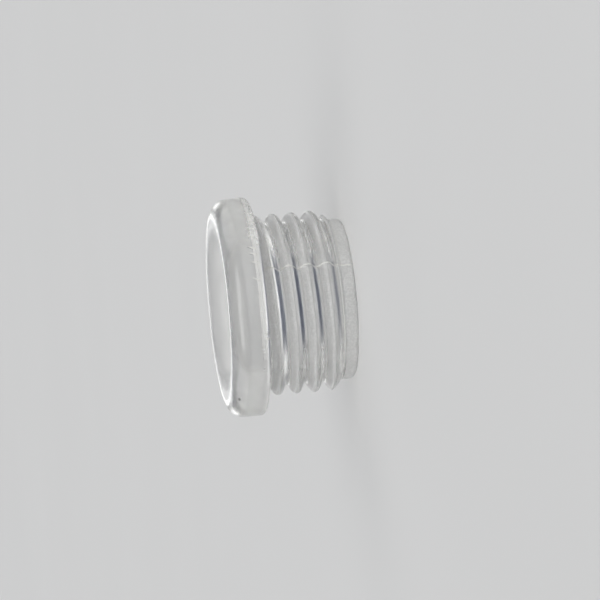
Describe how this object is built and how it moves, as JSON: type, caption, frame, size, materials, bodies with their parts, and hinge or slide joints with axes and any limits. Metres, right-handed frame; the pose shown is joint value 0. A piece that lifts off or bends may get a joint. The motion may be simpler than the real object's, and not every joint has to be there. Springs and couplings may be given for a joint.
{
  "type": "threaded insulating nipple",
  "caption": "Clear moulded cable nipple: a short externally threaded bush with a rounded collar, a plain pilot and a smooth bore that guides a cable.",
  "frame": {"origin": "centre of the thread end's face, on the surface that the nipple stands on", "axes": "+Z along the bore, from the thread end up to the collar; X and Y across it"},
  "size_m": [0.0118, 0.0118, 0.007],
  "materials": {
    "clear_plastic": "clear moulding, polished collar and satin thread"
  },
  "bodies": {
    "root": {"nipple": "clear_plastic"}
  },
  "joints": []
}
